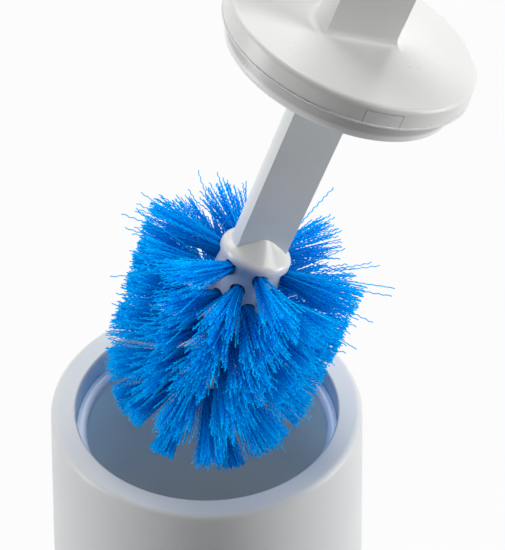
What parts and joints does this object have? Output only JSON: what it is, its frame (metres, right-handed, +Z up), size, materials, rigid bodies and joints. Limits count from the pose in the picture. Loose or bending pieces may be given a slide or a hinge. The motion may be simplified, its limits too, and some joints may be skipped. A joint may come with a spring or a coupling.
{
  "type": "toilet brush holder",
  "caption": "Toilet brush in a round white plastic holder: the blue-bristled brush is lifted half out and leans over the mouth, with its lid and long handle above.",
  "frame": {"origin": "Centre of the holder's underside, where it stands on the floor", "axes": "+Z up, along the holder's axis; -Y towards the front, where the picture was taken from; +X to the right, the way that the lifted brush leans most"},
  "size_m": [0.1905, 0.1127, 0.5279],
  "materials": {
    "holder_plastic": "smooth",
    "ring_plastic": "smooth",
    "base_plastic": "smooth",
    "handle_plastic": "smooth",
    "lid_plastic": "smooth",
    "lid_underside_plastic": "smooth",
    "stem_plastic": "smooth",
    "core_plastic": "smooth",
    "staple_wire": "drawn wire",
    "bristle_fibre": "crimped fibre"
  },
  "bodies": {
    "holder": {"holder_shell": "holder_plastic", "mouth_ring": "ring_plastic", "base_plate": "base_plastic"},
    "brush": {"grip": "handle_plastic", "lid_cap": "lid_plastic", "lid_base": "lid_underside_plastic", "stem": "stem_plastic", "head_core": "core_plastic", "tuft_anchors": "staple_wire", "tuft_row_01": "bristle_fibre", "tuft_row_02": "bristle_fibre", "tuft_row_03": "bristle_fibre", "tuft_row_04": "bristle_fibre", "tuft_row_05": "bristle_fibre", "tuft_row_06": "bristle_fibre", "tuft_row_07": "bristle_fibre", "tuft_row_08": "bristle_fibre", "tuft_row_09": "bristle_fibre", "tuft_row_10": "bristle_fibre"}
  },
  "joints": [
    {"name": "brush_lift", "type": "hinge", "parent": "holder", "child": "brush", "pos_m": [0.38237, 0.13766, 0.11424], "axis": [-0.3387, 0.9409, 0], "range_deg": [-21.8, 10]}
  ]
}
